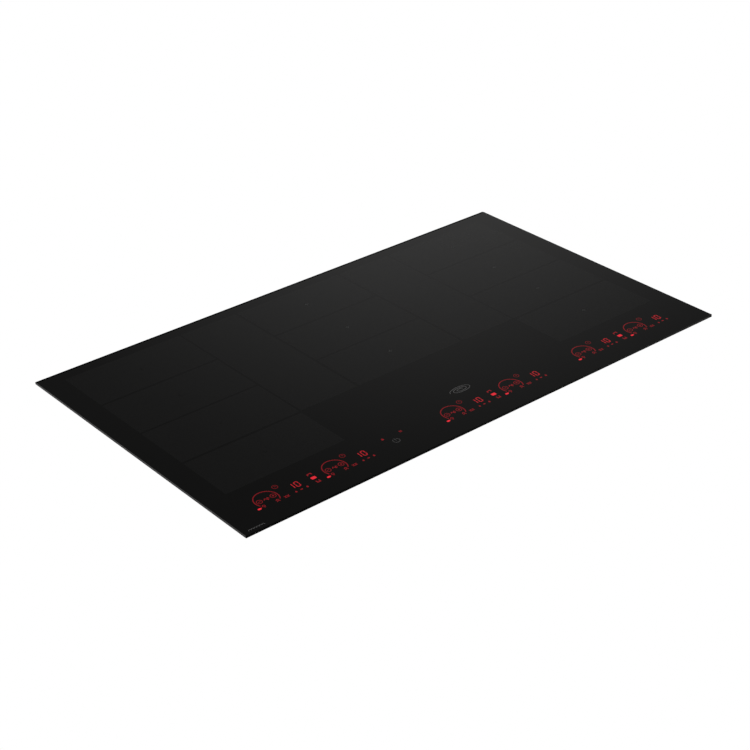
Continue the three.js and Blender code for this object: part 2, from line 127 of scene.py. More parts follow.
class Graph:
    """A material's or the world's node tree, with short calls for the nodes used here."""

    def __init__(self, owner):
        owner.use_nodes = True
        self.tree = owner.node_tree
        self.tree.nodes.clear()

    def node(self, kind, **settings):
        made = self.tree.nodes.new(kind)
        for name, value in settings.items():
            setattr(made, name, value)
        return made

    def feed(self, socket, value):
        if isinstance(value, bpy.types.NodeSocket):
            self.tree.links.new(value, socket)
        else:
            socket.default_value = value

    def math(self, operation, a, b=0.0, clamp=False):
        made = self.node("ShaderNodeMath", operation=operation, use_clamp=clamp)
        self.feed(made.inputs[0], a)
        self.feed(made.inputs[1], b)
        return made.outputs[0]

    def ramp(self, value, low, high, to_low=0.0, to_high=1.0, smooth=False):
        kind = "SMOOTHSTEP" if smooth else "LINEAR"
        made = self.node("ShaderNodeMapRange", interpolation_type=kind, clamp=True)
        for socket, given in zip(made.inputs[:5], (value, low, high, to_low, to_high)):
            self.feed(socket, given)
        return made.outputs[0]

    def mix(self, factor, a, b):
        made = self.node("ShaderNodeMix", data_type="RGBA")
        self.feed(made.inputs[0], factor)
        self.feed(made.inputs[6], a)
        self.feed(made.inputs[7], b)
        return made.outputs[2]

    def place(self, stretch=(1, 1, 1)):
        """Object coordinates in millimetres, stretched along each axis."""
        coordinates = self.node("ShaderNodeTexCoord")
        mapping = self.node("ShaderNodeMapping")
        self.feed(mapping.inputs["Vector"], coordinates.outputs["Object"])
        mapping.inputs["Scale"].default_value = [s / MM for s in stretch]
        return mapping.outputs[0]

    def noise(self, size, detail=3.0, stretch=(1, 1, 1)):
        """Noise with features of about size millimetres."""
        made = self.node("ShaderNodeTexNoise")
        self.feed(made.inputs["Vector"], self.place(stretch))
        made.inputs["Scale"].default_value = 1 / size
        made.inputs["Detail"].default_value = detail
        made.inputs["Roughness"].default_value = 0.55
        return made.outputs["Fac"]

    def cells(self, size, stretch=(1, 1, 1)):
        """A random colour per cell, in cells of about size millimetres."""
        made = self.node("ShaderNodeTexVoronoi", feature="F1")
        self.feed(made.inputs["Vector"], self.place(stretch))
        made.inputs["Scale"].default_value = 1 / size
        return made.outputs["Color"]

    def bump(self, height, depth, strength=1.0):
        """A normal from a height from 0 to 1 that stands for depth millimetres."""
        made = self.node("ShaderNodeBump")
        made.inputs["Strength"].default_value = strength
        made.inputs["Distance"].default_value = depth * MM
        self.feed(made.inputs["Height"], height)
        return made.outputs[0]

    def edge_wear(self, radius, low=0.02, high=0.25):
        """1 on edges and corners, 0 on flats, from the angle between true and rounded normals."""
        bevel = self.node("ShaderNodeBevel", samples=4)
        bevel.inputs["Radius"].default_value = radius * MM
        geometry = self.node("ShaderNodeNewGeometry")
        apart = self.node("ShaderNodeVectorMath", operation="DISTANCE")
        self.feed(apart.inputs[0], bevel.outputs[0])
        self.feed(apart.inputs[1], geometry.outputs["Normal"])
        return self.ramp(apart.outputs["Value"], low, high)


def material(name, colour, roughness, normal=None, **fixed):
    """A Principled material. colour and roughness may be plain values or built by a function of the graph."""
    made = bpy.data.materials.new(name)
    graph = Graph(made)
    shader = graph.node("ShaderNodeBsdfPrincipled")
    out = graph.node("ShaderNodeOutputMaterial")
    graph.feed(out.inputs[0], shader.outputs[0])
    graph.feed(shader.inputs["Base Color"], colour(graph) if callable(colour) else colour)
    graph.feed(shader.inputs["Roughness"], roughness(graph) if callable(roughness) else roughness)
    if normal:
        graph.feed(shader.inputs["Normal"], normal(graph))
    for socket, value in fixed.items():
        shader.inputs[socket.replace("_", " ")].default_value = value
    return made


def grey(level):
    return (level, level, level, 1)


# ---- light: a white studio with a soft bright patch behind the right of the object ----

SKY_BASE = 0.083
SKY_PATCH = 0.33
SKY_PATCH_REACH = 16.7                  # degrees from its centre to where it ends
SKY_PATCH_PLACE = (139.1, 18.3)         # azimuth and elevation
SKY_RISE = (0.2, 0.38)                  # heights between which the sky fades in, 1 being overhead
HORIZON_GLOW = 0.95                     # a bright band below the horizon, which lights the casing
BAND_FOOT = (-0.455, -0.43)             # heights between which the band fades in
BAND_HEAD = (-0.02, -0.08)              # heights between which it fades out
LOW_GLOW = 0.62                         # a patch below the horizon that the glass's left edge mirrors
LOW_GLOW_REACH = 34
LOW_GLOW_PLACE = (219.8, -29.9)


def make_world():
    world = bpy.data.worlds.new("studio")
    bpy.context.scene.world = world
    graph = Graph(world)
    where = graph.node("ShaderNodeTexCoord").outputs["Generated"]

    def patch(place, reach):
        """1 at a place in the sky, falling smoothly to 0 at reach degrees from it."""
        towards = graph.node("ShaderNodeVectorMath", operation="DOT_PRODUCT")
        graph.feed(towards.inputs[0], where)
        towards.inputs[1].default_value = direction(*place)
        angle = graph.math("ARCCOSINE", graph.math("MINIMUM", towards.outputs["Value"], 1.0))
        return graph.ramp(angle, 0.0, math.radians(reach), 1.0, 0.0, smooth=True)

    split = graph.node("ShaderNodeSeparateXYZ")
    graph.feed(split.inputs[0], where)
    height = split.outputs["Z"]
    above = graph.ramp(height, *SKY_RISE, smooth=True)
    bright = graph.math("MULTIPLY", patch(SKY_PATCH_PLACE, SKY_PATCH_REACH), SKY_PATCH)
    sky = graph.math("MULTIPLY", above, graph.math("ADD", bright, SKY_BASE))
    foot = graph.ramp(height, *BAND_FOOT, smooth=True)
    band = graph.math("MULTIPLY", foot, graph.ramp(height, *BAND_HEAD, smooth=True))
    glow = graph.math("MULTIPLY", patch(LOW_GLOW_PLACE, LOW_GLOW_REACH), LOW_GLOW)
    sky = graph.math("ADD", sky, graph.math("MULTIPLY", band, HORIZON_GLOW))
    sky = graph.math("ADD", sky, glow)

    lit = graph.node("ShaderNodeBackground")
    graph.feed(lit.inputs["Strength"], sky)
    lit.inputs["Color"].default_value = (1, 0.995, 0.985, 1)
    seen = graph.node("ShaderNodeBackground")
    seen.inputs["Color"].default_value = grey(1)
    ray = graph.node("ShaderNodeLightPath")
    mixed = graph.node("ShaderNodeMixShader")
    graph.feed(mixed.inputs[0], ray.outputs["Is Camera Ray"])
    graph.feed(mixed.inputs[1], lit.outputs[0])
    graph.feed(mixed.inputs[2], seen.outputs[0])
    out = graph.node("ShaderNodeOutputWorld")
    graph.feed(out.inputs[0], mixed.outputs[0])


def soft_light(name, place, watts, distance=2.6, size=1.2):
    """A square soft box in the direction of place, facing the object."""
    light = bpy.data.lights.new(name, "AREA")
    light.shape = "SQUARE"
    light.size = size
    light.energy = watts
    lamp = bpy.data.objects.new(name, light)
    towards = direction(*place)
    lamp.location = MIDDLE + towards * distance
    lamp.rotation_mode = "QUATERNION"
    lamp.rotation_quaternion = towards.to_track_quat("Z", "Y")
    bpy.context.scene.collection.objects.link(lamp)


make_world()
soft_light("softbox_front", (-25, 48), 2.0)
soft_light("softbox_back_left", (215, 62), 1.5)
bpy.context.scene.view_settings.view_transform = "Standard"
bpy.context.scene.view_settings.look = "None"

# ---- meshes ----


def new_object(name, mesh):
    made = bpy.data.objects.new(name, mesh)
    bpy.context.scene.collection.objects.link(made)
    return made


def mesh_from(name, build):
    """A mesh object filled by build(bm), with its faces turned outwards."""
    bm = bmesh.new()
    build(bm)
    bmesh.ops.recalc_face_normals(bm, faces=bm.faces)
    mesh = bpy.data.meshes.new(name)
    bm.to_mesh(mesh)
    bm.free()
    return new_object(name, mesh)


def finish_piece(piece, finish, body, smooth=False):
    piece.data.materials.clear()
    piece.data.materials.append(finish)
    if smooth:
        for face in piece.data.polygons:
            face.use_smooth = True
    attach(piece, body)
    return piece


# ---- flat artwork: closed outlines and strokes, drawn in millimetres ----


def arc(x, y, radius, start, end, steps=24):
    turns = [math.radians(start + (end - start) * i / steps) for i in range(steps + 1)]
    return [(x + radius * math.cos(t), y + radius * math.sin(t)) for t in turns]


def rounded(x, y, width, depth, radius, steps=6):
    """Outline of a rounded rectangle about x, y."""
    half_w, half_d = width / 2 - radius, depth / 2 - radius
    corners = ((half_w, half_d, 0), (-half_w, half_d, 90), (-half_w, -half_d, 180), (half_w, -half_d, 270))
    return [p for cx, cy, a in corners for p in arc(x + cx, y + cy, radius, a, a + 90, steps)]


def fill(points):
    return ("fill", points, 0, True)


def stroke(points, width=0.9, closed=False):
    return ("stroke", points, width, closed)


def circle(x, y, radius, width=0.9):
    return stroke(arc(x, y, radius, 0, 360, 32)[:-1], width, True)


def dot(x, y, radius):
    return fill(arc(x, y, radius, 0, 360, 20)[:-1])


def moved(shapes, dx, dy):
    return [
        (kind, [(x + dx, y + dy) for x, y in points], width, closed)
        for kind, points, width, closed in shapes
    ]


def stroke_sides(points, width, closed):
    """The two edges of a stroke, mitred at its bends."""
    count = len(points)
    left, right = [], []
    for i, (x, y) in enumerate(points):
        before = points[i - 1] if closed or i > 0 else None
        after = points[(i + 1) % count] if closed or i < count - 1 else None
        steps = []
        for a, b in ((before, (x, y)), ((x, y), after)):
            if a is not None and b is not None:
                length = math.dist(a, b)
                steps.append(((b[0] - a[0]) / length, (b[1] - a[1]) / length))
        along = (sum(s[0] for s in steps), sum(s[1] for s in steps))
        size = math.hypot(*along)
        normal = (-along[1] / size, along[0] / size)
        spread = normal[0] * -steps[0][1] + normal[1] * steps[0][0]
        reach = width / 2 / max(spread, 0.35)
        left.append((x + normal[0] * reach, y + normal[1] * reach))
        right.append((x - normal[0] * reach, y - normal[1] * reach))
    return left, right


def on_glass(x, y, height):
    return Vector((GLASS_LOW.x + x * MM, GLASS_LOW.y + y * MM, GLASS_HIGH.z + height * MM))


def add_prism(bm, points, low, high):
    """A flat solid over a closed outline, between two heights above the glass."""
    bottom = [bm.verts.new(on_glass(x, y, low)) for x, y in points]
    top = [bm.verts.new(on_glass(x, y, high)) for x, y in points]
    bm.faces.new(bottom)
    bm.faces.new(top)
    for i in range(len(points)):
        j = (i + 1) % len(points)
        bm.faces.new((bottom[i], bottom[j], top[j], top[i]))


def add_stroke(bm, points, width, closed, low, high):
    left, right = stroke_sides(points, width, closed)
    rings = [
        [bm.verts.new(on_glass(*p, h)) for p, h in ((a, low), (b, low), (b, high), (a, high))]
        for a, b in zip(left, right)
    ]
    count = len(rings)
    for i in range(count if closed else count - 1):
        here, there = rings[i], rings[(i + 1) % count]
        for k in range(4):
            bm.faces.new((here[k], here[(k + 1) % 4], there[(k + 1) % 4], there[k]))
    if not closed:
        bm.faces.new(rings[0])
        bm.faces.new(rings[-1])


def artwork(name, shapes, finish, thick=PRINT_THICK):
    def build(bm):
        for kind, points, width, closed in shapes:
            if kind == "fill":
                add_prism(bm, points, -PRINT_SINK, thick)
            else:
                add_stroke(bm, points, width, closed, -PRINT_SINK, thick)

    return finish_piece(mesh_from(name, build), finish, "casing")


# ---- finishes of the glass and its print ----


def glass_colour(graph):
    """Near black, with the faintest haze of wiped-off marks."""
    return graph.mix(graph.noise(90, 4), grey(0.0008), grey(0.0022))


def glass_roughness(graph):
    """Polished on top, ground and matt on the edges."""
    geometry = graph.node("ShaderNodeNewGeometry")
    split = graph.node("ShaderNodeSeparateXYZ")
    graph.feed(split.inputs[0], geometry.outputs["Normal"])
    ground = graph.ramp(split.outputs["Z"], 0.999, 0.9)
    smears = graph.ramp(graph.noise(26, 5, (1, 1.7, 1)), 0.35, 0.8, 0.045, 0.085)
    edge = graph.math("MULTIPLY", ground, 0.16)
    return graph.math("ADD", smears, edge)


def glass_waviness(graph):
    return graph.bump(graph.noise(14, 2), 0.0012, 0.5)


black_glass = material("black_glass_finish", glass_colour, glass_roughness, glass_waviness, IOR=1.5)


def dotted(graph, pitch, radius):
    """1 inside a square grid of small round dots, 0 between them."""
    wrapped = graph.node("ShaderNodeVectorMath", operation="MODULO")
    shifted = graph.node("ShaderNodeVectorMath", operation="ADD")
    graph.feed(shifted.inputs[0], graph.place())
    shifted.inputs[1].default_value = (2000, 2000, 0)
    graph.feed(wrapped.inputs[0], shifted.outputs[0])
    wrapped.inputs[1].default_value = (pitch, pitch, 1000)
    apart = graph.node("ShaderNodeVectorMath", operation="DISTANCE")
    flat = graph.node("ShaderNodeVectorMath", operation="MULTIPLY")
    graph.feed(flat.inputs[0], wrapped.outputs[0])
    flat.inputs[1].default_value = (1, 1, 0)
    graph.feed(apart.inputs[0], flat.outputs[0])
    apart.inputs[1].default_value = (pitch / 2, pitch / 2, 0)
    return graph.ramp(apart.outputs["Value"], radius - 0.08, radius + 0.08, 1.0, 0.0)


def zone_colour(graph):
    ink = graph.mix(graph.noise(45, 3), grey(0.040), grey(0.050))
    return graph.mix(dotted(graph, 1.6, 0.55), grey(0.004), ink)


zone_print = material("zone_print_finish", zone_colour, glass_roughness, glass_waviness, IOR=1.5)
grey_print = material(
    "grey_print_finish",
    lambda g: g.mix(g.noise(1.2, 2), grey(0.24), grey(0.32)),
    lambda g: g.ramp(g.noise(3, 3), 0.3, 0.7, 0.2, 0.32),
    IOR=1.5,
)
pale_print = material(
    "pale_print_finish",
    lambda g: g.mix(g.noise(1.2, 2), grey(0.55), grey(0.66)),
    lambda g: g.ramp(g.noise(3, 3), 0.3, 0.7, 0.2, 0.32),
    IOR=1.5,
)
dark_mark = material(
    "dark_mark_finish",
    lambda g: g.mix(g.noise(1.2, 2), grey(0.001), grey(0.004)),
    lambda g: g.ramp(g.noise(3, 3), 0.3, 0.7, 0.4, 0.55),
    IOR=1.5,
)


def lit(name, strength):
    """A red display segment behind the glass: a little uneven, as its diffuser is."""
    made = bpy.data.materials.new(name)
    graph = Graph(made)
    shader = graph.node("ShaderNodeBsdfPrincipled")
    out = graph.node("ShaderNodeOutputMaterial")
    graph.feed(out.inputs[0], shader.outputs[0])
    shader.inputs["Base Color"].default_value = (0.02, 0.001, 0.001, 1)
    shader.inputs["Roughness"].default_value = 0.1
    shader.inputs["IOR"].default_value = 1.5
    bright, dull = (1.0, 0.032, 0.055, 1), (0.72, 0.018, 0.03, 1)
    graph.feed(shader.inputs["Emission Color"], graph.mix(graph.noise(1.6, 2), dull, bright))
    shader.inputs["Emission Strength"].default_value = strength
    return made


red_bright = lit("red_bright_finish", 0.95)
red_medium = lit("red_medium_finish", 0.85)
red_soft = lit("red_soft_finish", 0.52)
red_dim = lit("red_dim_finish", 0.26)
red_faint = lit("red_faint_finish", 0.17)

# ---- printed cooking areas ----


def cell_rows(rows):
    """Y of the centre of each printed row, from the back row forwards."""
    return [CELL_FRONT + CELL[1] * (ROWS - i - 0.5) for i in range(rows)]


def cell_mark(x, y):
    """A small cross of four short bars round a dot."""
    bars = [stroke([(x + 1.3 * dx, y + 1.3 * dy), (x + 3.2 * dx, y + 3.2 * dy)], 0.9)
            for dx, dy in ((1, 0), (0, 1), (-1, 0), (0, -1))]
    return bars + [dot(x, y, 0.7)]


def make_zones():
    half_glass = (GLASS_HIGH.x - GLASS_LOW.x) / MM / 2
    for name, offset, rows in BLOCKS:
        x = half_glass + offset
        for number, y in enumerate(cell_rows(rows), 1):
            area = fill(rounded(x, y, CELL[0] - LINE, CELL[1] - LINE, 0.8, 2))
            artwork(f"zone_{name}_{number}", [area], zone_print)
            ink = dark_mark if name == "left" else grey_print
            artwork(f"cell_mark_{name}_{number}", cell_mark(x, y), ink, PRINT_THICK * 2)
    depth = CELL[1] * 3
    for side, offset in (("left", -BRIDGE_OFFSET), ("right", BRIDGE_OFFSET)):
        y = CELL_FRONT + CELL[1] + depth / 2
        area = fill(rounded(half_glass + offset, y, BRIDGE_WIDTH - LINE, depth - LINE, 0.8, 2))
        artwork(f"bridge_area_{side}", [area], zone_print)


make_zones()

# ---- lit symbols of one control group, drawn about the dial's centre ----

SEGMENT = 1.4                           # width of a digit's bar
DIGIT = (5.4, 11.6)
DIGIT_PLACES = ((42.1, 1.4), (51.8, 1.4))
DIGIT_BARS = ("bc", "abcdef")           # a one and a nought
SLANT = 0.05                            # how far a digit leans for its height


def dial():
    """An open ring of short bars, from the lower left over the top to the lower right."""
    start, end, bars = -36, 208, 34
    step = (end - start) / bars
    starts = [start + i * step for i in range(bars)]
    return [stroke(arc(0, 0, DIAL_RADIUS, a, a + 0.82 * step, 3), 1.5) for a in starts]


def seven_segment(x, y, segments):
    """Bars of a seven-segment digit about x, y; segments are named a to g in the usual way."""
    w, h = DIGIT[0] / 2, DIGIT[1] / 2
    gap = 0.5
    bars = {
        "a": ((-w + gap, h), (w - gap, h)),
        "b": ((w, h - gap), (w, gap)),
        "c": ((w, -gap), (w, -h + gap)),
        "d": ((-w + gap, -h), (w - gap, -h)),
        "e": ((-w, -gap), (-w, -h + gap)),
        "f": ((-w, h - gap), (-w, gap)),
        "g": ((-w + gap, 0), (w - gap, 0)),
    }
    lean = lambda p: (x + p[0] + p[1] * SLANT, y + p[1])
    return [stroke([lean(bars[s][0]), lean(bars[s][1])], SEGMENT) for s in segments]


def readout():
    return [bar for (x, y), bars in zip(DIGIT_PLACES, DIGIT_BARS) for bar in seven_segment(x, y, bars)]


def minus_button(x, y):
    return [circle(x, y, 4.1, 0.8), stroke([(x - 1.9, y), (x + 1.9, y)], 0.9)]


def plus_button(x, y):
    uprights = [stroke([(x, y + d * 1.9), (x, y + d * 0.46)], 0.9) for d in (-1, 1)]
    return minus_button(x, y) + uprights


def zigzag(x, y):
    bends = ((-4.4, -1.4), (-2.2, 1.6), (0.2, -1.4), (2.2, 1.6), (3.9, -1.2))
    return [stroke([(x + dx, y + dy) for dx, dy in bends], 1.1), dot(x + 1.2, y - 2.6, 1.1)]


def clock(x, y):
    return [circle(x, y, 4.0, 0.9), stroke([(x, y + 2.4), (x, y), (x + 1.8, y)], 0.9)]


def chevrons(x, y):
    """Two arrowheads pointing up: full power."""
    feet = (y - 1.6, y + 1.5)
    return [stroke([(x - 2.6, foot - 1.4), (x, foot + 0.9), (x + 2.6, foot - 1.4)], 1.1) for foot in feet]


def keep_warm(x, y):
    """Two short waves side by side over a bar."""
    middles = (x - 2.2, x + 2.2)
    waves = [stroke([(mid - 1.6, y + 1.7), (mid, y - 0.5), (mid + 1.6, y + 1.7)], 1.1) for mid in middles]
    return waves + [stroke([(x - 3.8, y - 2.0), (x + 3.8, y - 2.0)], 1.0)]


def small_ring(x, y):
    return [circle(x, y, 1.9, 1.0), stroke([(x - 1.2, y - 3.4), (x + 1.2, y - 3.4)], 0.8)]


def presets(x, y):
    """Three small settings: a drop, a bowl and a flame."""
    drop = fill([(x, y + 2.1)] + arc(x, y - 0.5, 1.5, 30, -210, 12))
    bowl_x = x + 9.1
    bowl = fill(arc(bowl_x, y + 0.9, 2.2, 180, 360, 12))
    flame_x = x + 18.7
    flame = fill([(flame_x + 0.3, y + 2.3)] + arc(flame_x, y - 0.4, 1.7, 20, -200, 12))
    return [drop, bowl, flame]


def pan_symbol(x, y):
    """A solid pan with a short handle."""
    return [fill(rounded(x, y, 5.2, 3.4, 1.0, 4)), stroke([(x + 2.5, y + 0.6), (x + 4.0, y + 0.6)], 0.9)]


def link_symbols(x, y):
    """Two brackets over and under a joined block."""
    upper = ((-2.9, 8.0), (-2.4, 11.2), (3.4, 11.8), (3.6, 8.4))
    lower = ((-2.4, -7.8), (-2.2, -12.2), (2.4, -12.2), (2.2, -7.8))
    brackets = [stroke([(x + dx, y + dy) for dx, dy in bends], 1.7) for bends in (upper, lower)]
    return [fill(rounded(x, y, 7.8, 5.8, 1.4, 4))], brackets


def make_group(number, x, y):
    place = lambda shapes: moved(shapes, x, y)
    artwork(f"dial_{number}", place(dial()), red_dim)
    artwork(f"readout_{number}", place(readout()), red_soft)
    artwork(f"pan_symbol_{number}", place(pan_symbol(-20.9, -13.0)), red_bright)
    icons = minus_button(-11.2, 0.5) + plus_button(11.2, 0.5) + zigzag(0.2, 0.5)
    icons += small_ring(-12.3, -10.6) + chevrons(9.4, -11.9)
    icons += keep_warm(24.2, -12.2) + presets(39.9, -12.1)
    artwork(f"symbols_{number}", place(icons), red_dim)
    artwork(f"timer_symbol_{number}", place(clock(25.3, 15.4)), red_faint)


def make_controls():
    for number, x in enumerate(GROUP_CENTRES, 1):
        make_group(number, x, GROUP_Y)
    for number, x in enumerate(GROUP_CENTRES[::2], 1):
        block, brackets = link_symbols(x + LINK_OFFSET[0], GROUP_Y + LINK_OFFSET[1])
        artwork(f"link_block_{number}", block, red_medium)
        artwork(f"link_brackets_{number}", brackets, red_dim)


def make_general_symbols():
    """Child lock, pause and the unlit power symbol between the first two pairs."""
    x, y = LOCK_PLACE
    lock = [fill(rounded(x, y, 3.6, 3.0, 0.5, 3)), stroke(arc(x, y + 1.5, 1.2, 0, 180, 10), 0.8)]
    x, y = PAUSE_PLACE
    pause = [stroke([(x + dx, y - 2.1), (x + dx, y + 2.1)], 1.2) for dx in (-1.2, 1.2)]
    artwork("lock_symbol", lock, red_dim)
    artwork("pause_symbol", pause, red_dim)
    x, y = POWER_PLACE
    power = [stroke(arc(x, y, 5.0, 122, 418, 28), 1.3), stroke([(x, y - 0.4), (x, y + 6.2)], 1.3)]
    artwork("power_symbol", power, grey_print)


def make_coil_pictograms():
    """A plain spiral coil in the middle and a row of coil loops in the front left corner."""
    x, y = COIL_PICTOGRAM_PLACE
    turns = []
    for i in range(46):
        radius, turn = 2.2 + 0.21 * i, math.radians(20 * i)
        turns.append((x + radius * math.cos(turn) * 1.75, y + radius * math.sin(turn) * 0.72))
    artwork("coil_pictogram", [stroke(turns, 1.0)], pale_print)
    start, end = CORNER_PICTOGRAM
    loops = [start]
    for i in range(6):
        loops += arc(start[0] + 2.8 + 4.2 * i, start[1], 1.9, 180, 0, 8)
    loops.append(end)
    artwork("corner_pictogram", [stroke(loops, 0.75)], pale_print)


make_controls()
make_general_symbols()
make_coil_pictograms()

# ---- stage: a white worktop along the front and the left, sawn off flush at the other two sides ----

WORKTOP_FRONT = 60 * MM                 # how far it reaches past the glass
WORKTOP_LEFT = 110 * MM
WORKTOP_THICK = 8 * MM
WORKTOP_UNDERCUT = 14 * MM              # its outer edges slope inwards below, as a shark-nose edge does
WORKTOP_LAP = 2 * MM                    # how far it reaches under the glass's edge


def stage_finish(name, light, dark):
    made = bpy.data.materials.new(name)
    graph = Graph(made)
    glow = graph.node("ShaderNodeEmission")
    graph.feed(glow.inputs["Color"], graph.mix(graph.noise(1.5, 4), grey(dark), grey(light)))
    out = graph.node("ShaderNodeOutputMaterial")
    graph.feed(out.inputs[0], glow.outputs[0])
    return made


def worktop_outline(left, front):
    inner_left, inner_front = GLASS_LOW.x + WORKTOP_LAP, GLASS_LOW.y + WORKTOP_LAP
    return (
        (left, front), (GLASS_HIGH.x, front), (GLASS_HIGH.x, inner_front),
        (inner_left, inner_front), (inner_left, GLASS_HIGH.y), (left, GLASS_HIGH.y),
    )


def make_worktop():
    """An L-shaped board that glows white on top; its edges glow a fixed darker grey, painted shade on the
    board's sides.
    """
    high = GLASS_LOW.z - 0.1 * MM
    left, front = GLASS_LOW.x - WORKTOP_LEFT, GLASS_LOW.y - WORKTOP_FRONT
    over = worktop_outline(left, front)
    under = worktop_outline(left + WORKTOP_UNDERCUT, front + WORKTOP_UNDERCUT)

    def build(bm):
        bottom = [bm.verts.new((x, y, high - WORKTOP_THICK)) for x, y in under]
        top = [bm.verts.new((x, y, high)) for x, y in over]
        bm.faces.new(bottom)
        bm.faces.new(top)
        for i in range(len(over)):
            j = (i + 1) % len(over)
            bm.faces.new((bottom[i], bottom[j], top[j], top[i]))

    board = mesh_from("stage_worktop", build)
    board.data.materials.append(stage_finish("stage_white", 1.0, 1.0))
    # The edge faces glow a 0.4 to 0.62 grey whatever the lamps do: painted shade on the board's sides.
    board.data.materials.append(stage_finish("stage_edge_painted_shade", 0.62, 0.4))
    for face in board.data.polygons:
        face.material_index = 0 if face.normal.z > 0.5 else 1
    board.visible_glossy = False
    board.visible_diffuse = False
    board.visible_shadow = False


make_worktop()

# ---- finishes below the glass ----


def spangled(light, dark):
    """Galvanised sheet: crystal spangles of slightly different greys."""
    def build(graph):
        spangle = graph.cells(9)
        flakes = graph.node("ShaderNodeSeparateColor")
        graph.feed(flakes.inputs[0], spangle)
        cloud = graph.math("MULTIPLY", graph.noise(60, 4), 0.5)
        share = graph.math("ADD", graph.math("MULTIPLY", flakes.outputs[0], 0.5), cloud)
        plain = graph.mix(share, dark, light)
        return graph.mix(graph.math("MULTIPLY", graph.edge_wear(0.6), 0.5), plain, grey(0.72))
    return build


def scratched(low, high, size=1.2, stretch=(1, 12, 1)):
    return lambda graph: graph.ramp(graph.noise(size, 4, stretch), 0.3, 0.7, low, high)


def moulded(light, dark, size=30):
    """Moulded plastic: a faint flow pattern, paler on its edges."""
    def build(graph):
        body = graph.mix(graph.noise(size, 4), dark, light)
        pale = tuple(min(1, c * 1.7 + 0.01) for c in light[:3]) + (1,)
        return graph.mix(graph.math("MULTIPLY", graph.edge_wear(0.4), 0.6), body, pale)
    return build


def fine_grain(depth=0.02, size=0.6):
    return lambda graph: graph.bump(graph.noise(size, 3), depth, 0.6)


def strands(graph):
    """Twisted copper strand: stripes with dark lines between them."""
    return graph.mix(graph.noise(1.4, 3, (1, 1, 3)), (0.26, 0.09, 0.035, 1), (0.62, 0.27, 0.12, 1))


def board_colour(graph):
    """Solder mask with darker copper areas showing through."""
    tracks = graph.cells(7, (1, 2.3, 1))
    split = graph.node("ShaderNodeSeparateColor")
    graph.feed(split.inputs[0], tracks)
    mask = graph.ramp(split.outputs[0], 0.45, 0.5)
    return graph.mix(mask, (0.006, 0.055, 0.022, 1), (0.012, 0.095, 0.036, 1))


FINISHES = {
    "foam_tape": material(
        "foam_tape_finish", lambda g: g.mix(g.noise(1.5, 3), grey(0.012), grey(0.03)), 0.92,
        fine_grain(0.2, 0.7),
    ),
    "silicone": material(
        "silicone_finish", lambda g: g.mix(g.noise(8), grey(0.01), grey(0.018)), 0.5, fine_grain(0.1, 4)
    ),
    "galvanised_steel": material(
        "galvanised_steel_finish", spangled(grey(0.74), grey(0.5)), scratched(0.3, 0.46, 9, (1, 1, 1)),
        fine_grain(0.01, 1.4), Metallic=1.0,
    ),
    "spring_steel": material(
        "spring_steel_finish", spangled(grey(0.5), grey(0.36)), scratched(0.2, 0.36), fine_grain(0.006, 0.4),
        Metallic=1.0,
    ),
    "aluminium": material(
        "aluminium_finish", spangled(grey(0.78), grey(0.66)), scratched(0.26, 0.42, 0.7, (8, 1, 1)),
        fine_grain(0.008, 0.5), Metallic=1.0,
    ),
    "litz_copper": material(
        "litz_copper_finish", strands, scratched(0.35, 0.5), fine_grain(0.15, 0.9), Metallic=0.8,
    ),
    "mica": material(
        "mica_finish", lambda g: g.mix(g.noise(5, 5), (0.42, 0.36, 0.24, 1), (0.6, 0.55, 0.42, 1)),
        scratched(0.4, 0.65, 5, (1, 1, 1)), fine_grain(0.05, 2),
    ),
    "pale_plastic": material(
        "pale_plastic_finish", moulded((0.66, 0.64, 0.59, 1), (0.58, 0.56, 0.51, 1)),
        scratched(0.42, 0.56, 3, (1, 1, 1)), fine_grain(),
    ),
    "dark_plastic": material(
        "dark_plastic_finish", moulded((0.026, 0.027, 0.029, 1), (0.017, 0.018, 0.02, 1)),
        scratched(0.42, 0.58, 3, (1, 1, 1)), fine_grain(),
    ),
    "circuit_board": material(
        "circuit_board_finish", board_colour, scratched(0.25, 0.4, 2, (1, 1, 1)), fine_grain(0.03, 1)
    ),
    "black_glass": black_glass,
}


def dress_nodes():
    for row in frame["record"]["subparts"]:
        node = NODES[row["node"]]
        node.data.materials.clear()
        node.data.materials.append(FINISHES[row["material_slot"]])


dress_nodes()

# ---- solids used for the small parts, in metres ----


def add_block(bm, low, high, bevel=0.6 * MM):
    """A box between two corners, with softened edges."""
    made = bmesh.ops.create_cube(bm, size=1)["verts"]
    low, high = Vector(low), Vector(high)
    bmesh.ops.scale(bm, vec=high - low, verts=made)
    bmesh.ops.translate(bm, vec=(low + high) / 2, verts=made)
    edges = list({edge for vert in made for edge in vert.link_edges})
    bmesh.ops.bevel(bm, geom=edges, offset=bevel, segments=2, affect="EDGES", profile=0.6)


def add_turned(bm, centre, axis, profile, sides=24):
    """A solid of revolution: profile lists (radius, distance along the axis), ends closed."""
    turn = Vector(axis).to_track_quat("Z", "Y")
    rings = []
    for radius, along in profile:
        ring = []
        for i in range(sides):
            t = 2 * math.pi * i / sides
            offset = Vector((radius * math.cos(t), radius * math.sin(t), along))
            ring.append(bm.verts.new(Vector(centre) + turn @ offset))
        rings.append(ring)
    for below, above in zip(rings, rings[1:]):
        for i in range(sides):
            j = (i + 1) % sides
            bm.faces.new((below[i], below[j], above[j], above[i]))
    bm.faces.new(rings[0])
    bm.faces.new(rings[-1])


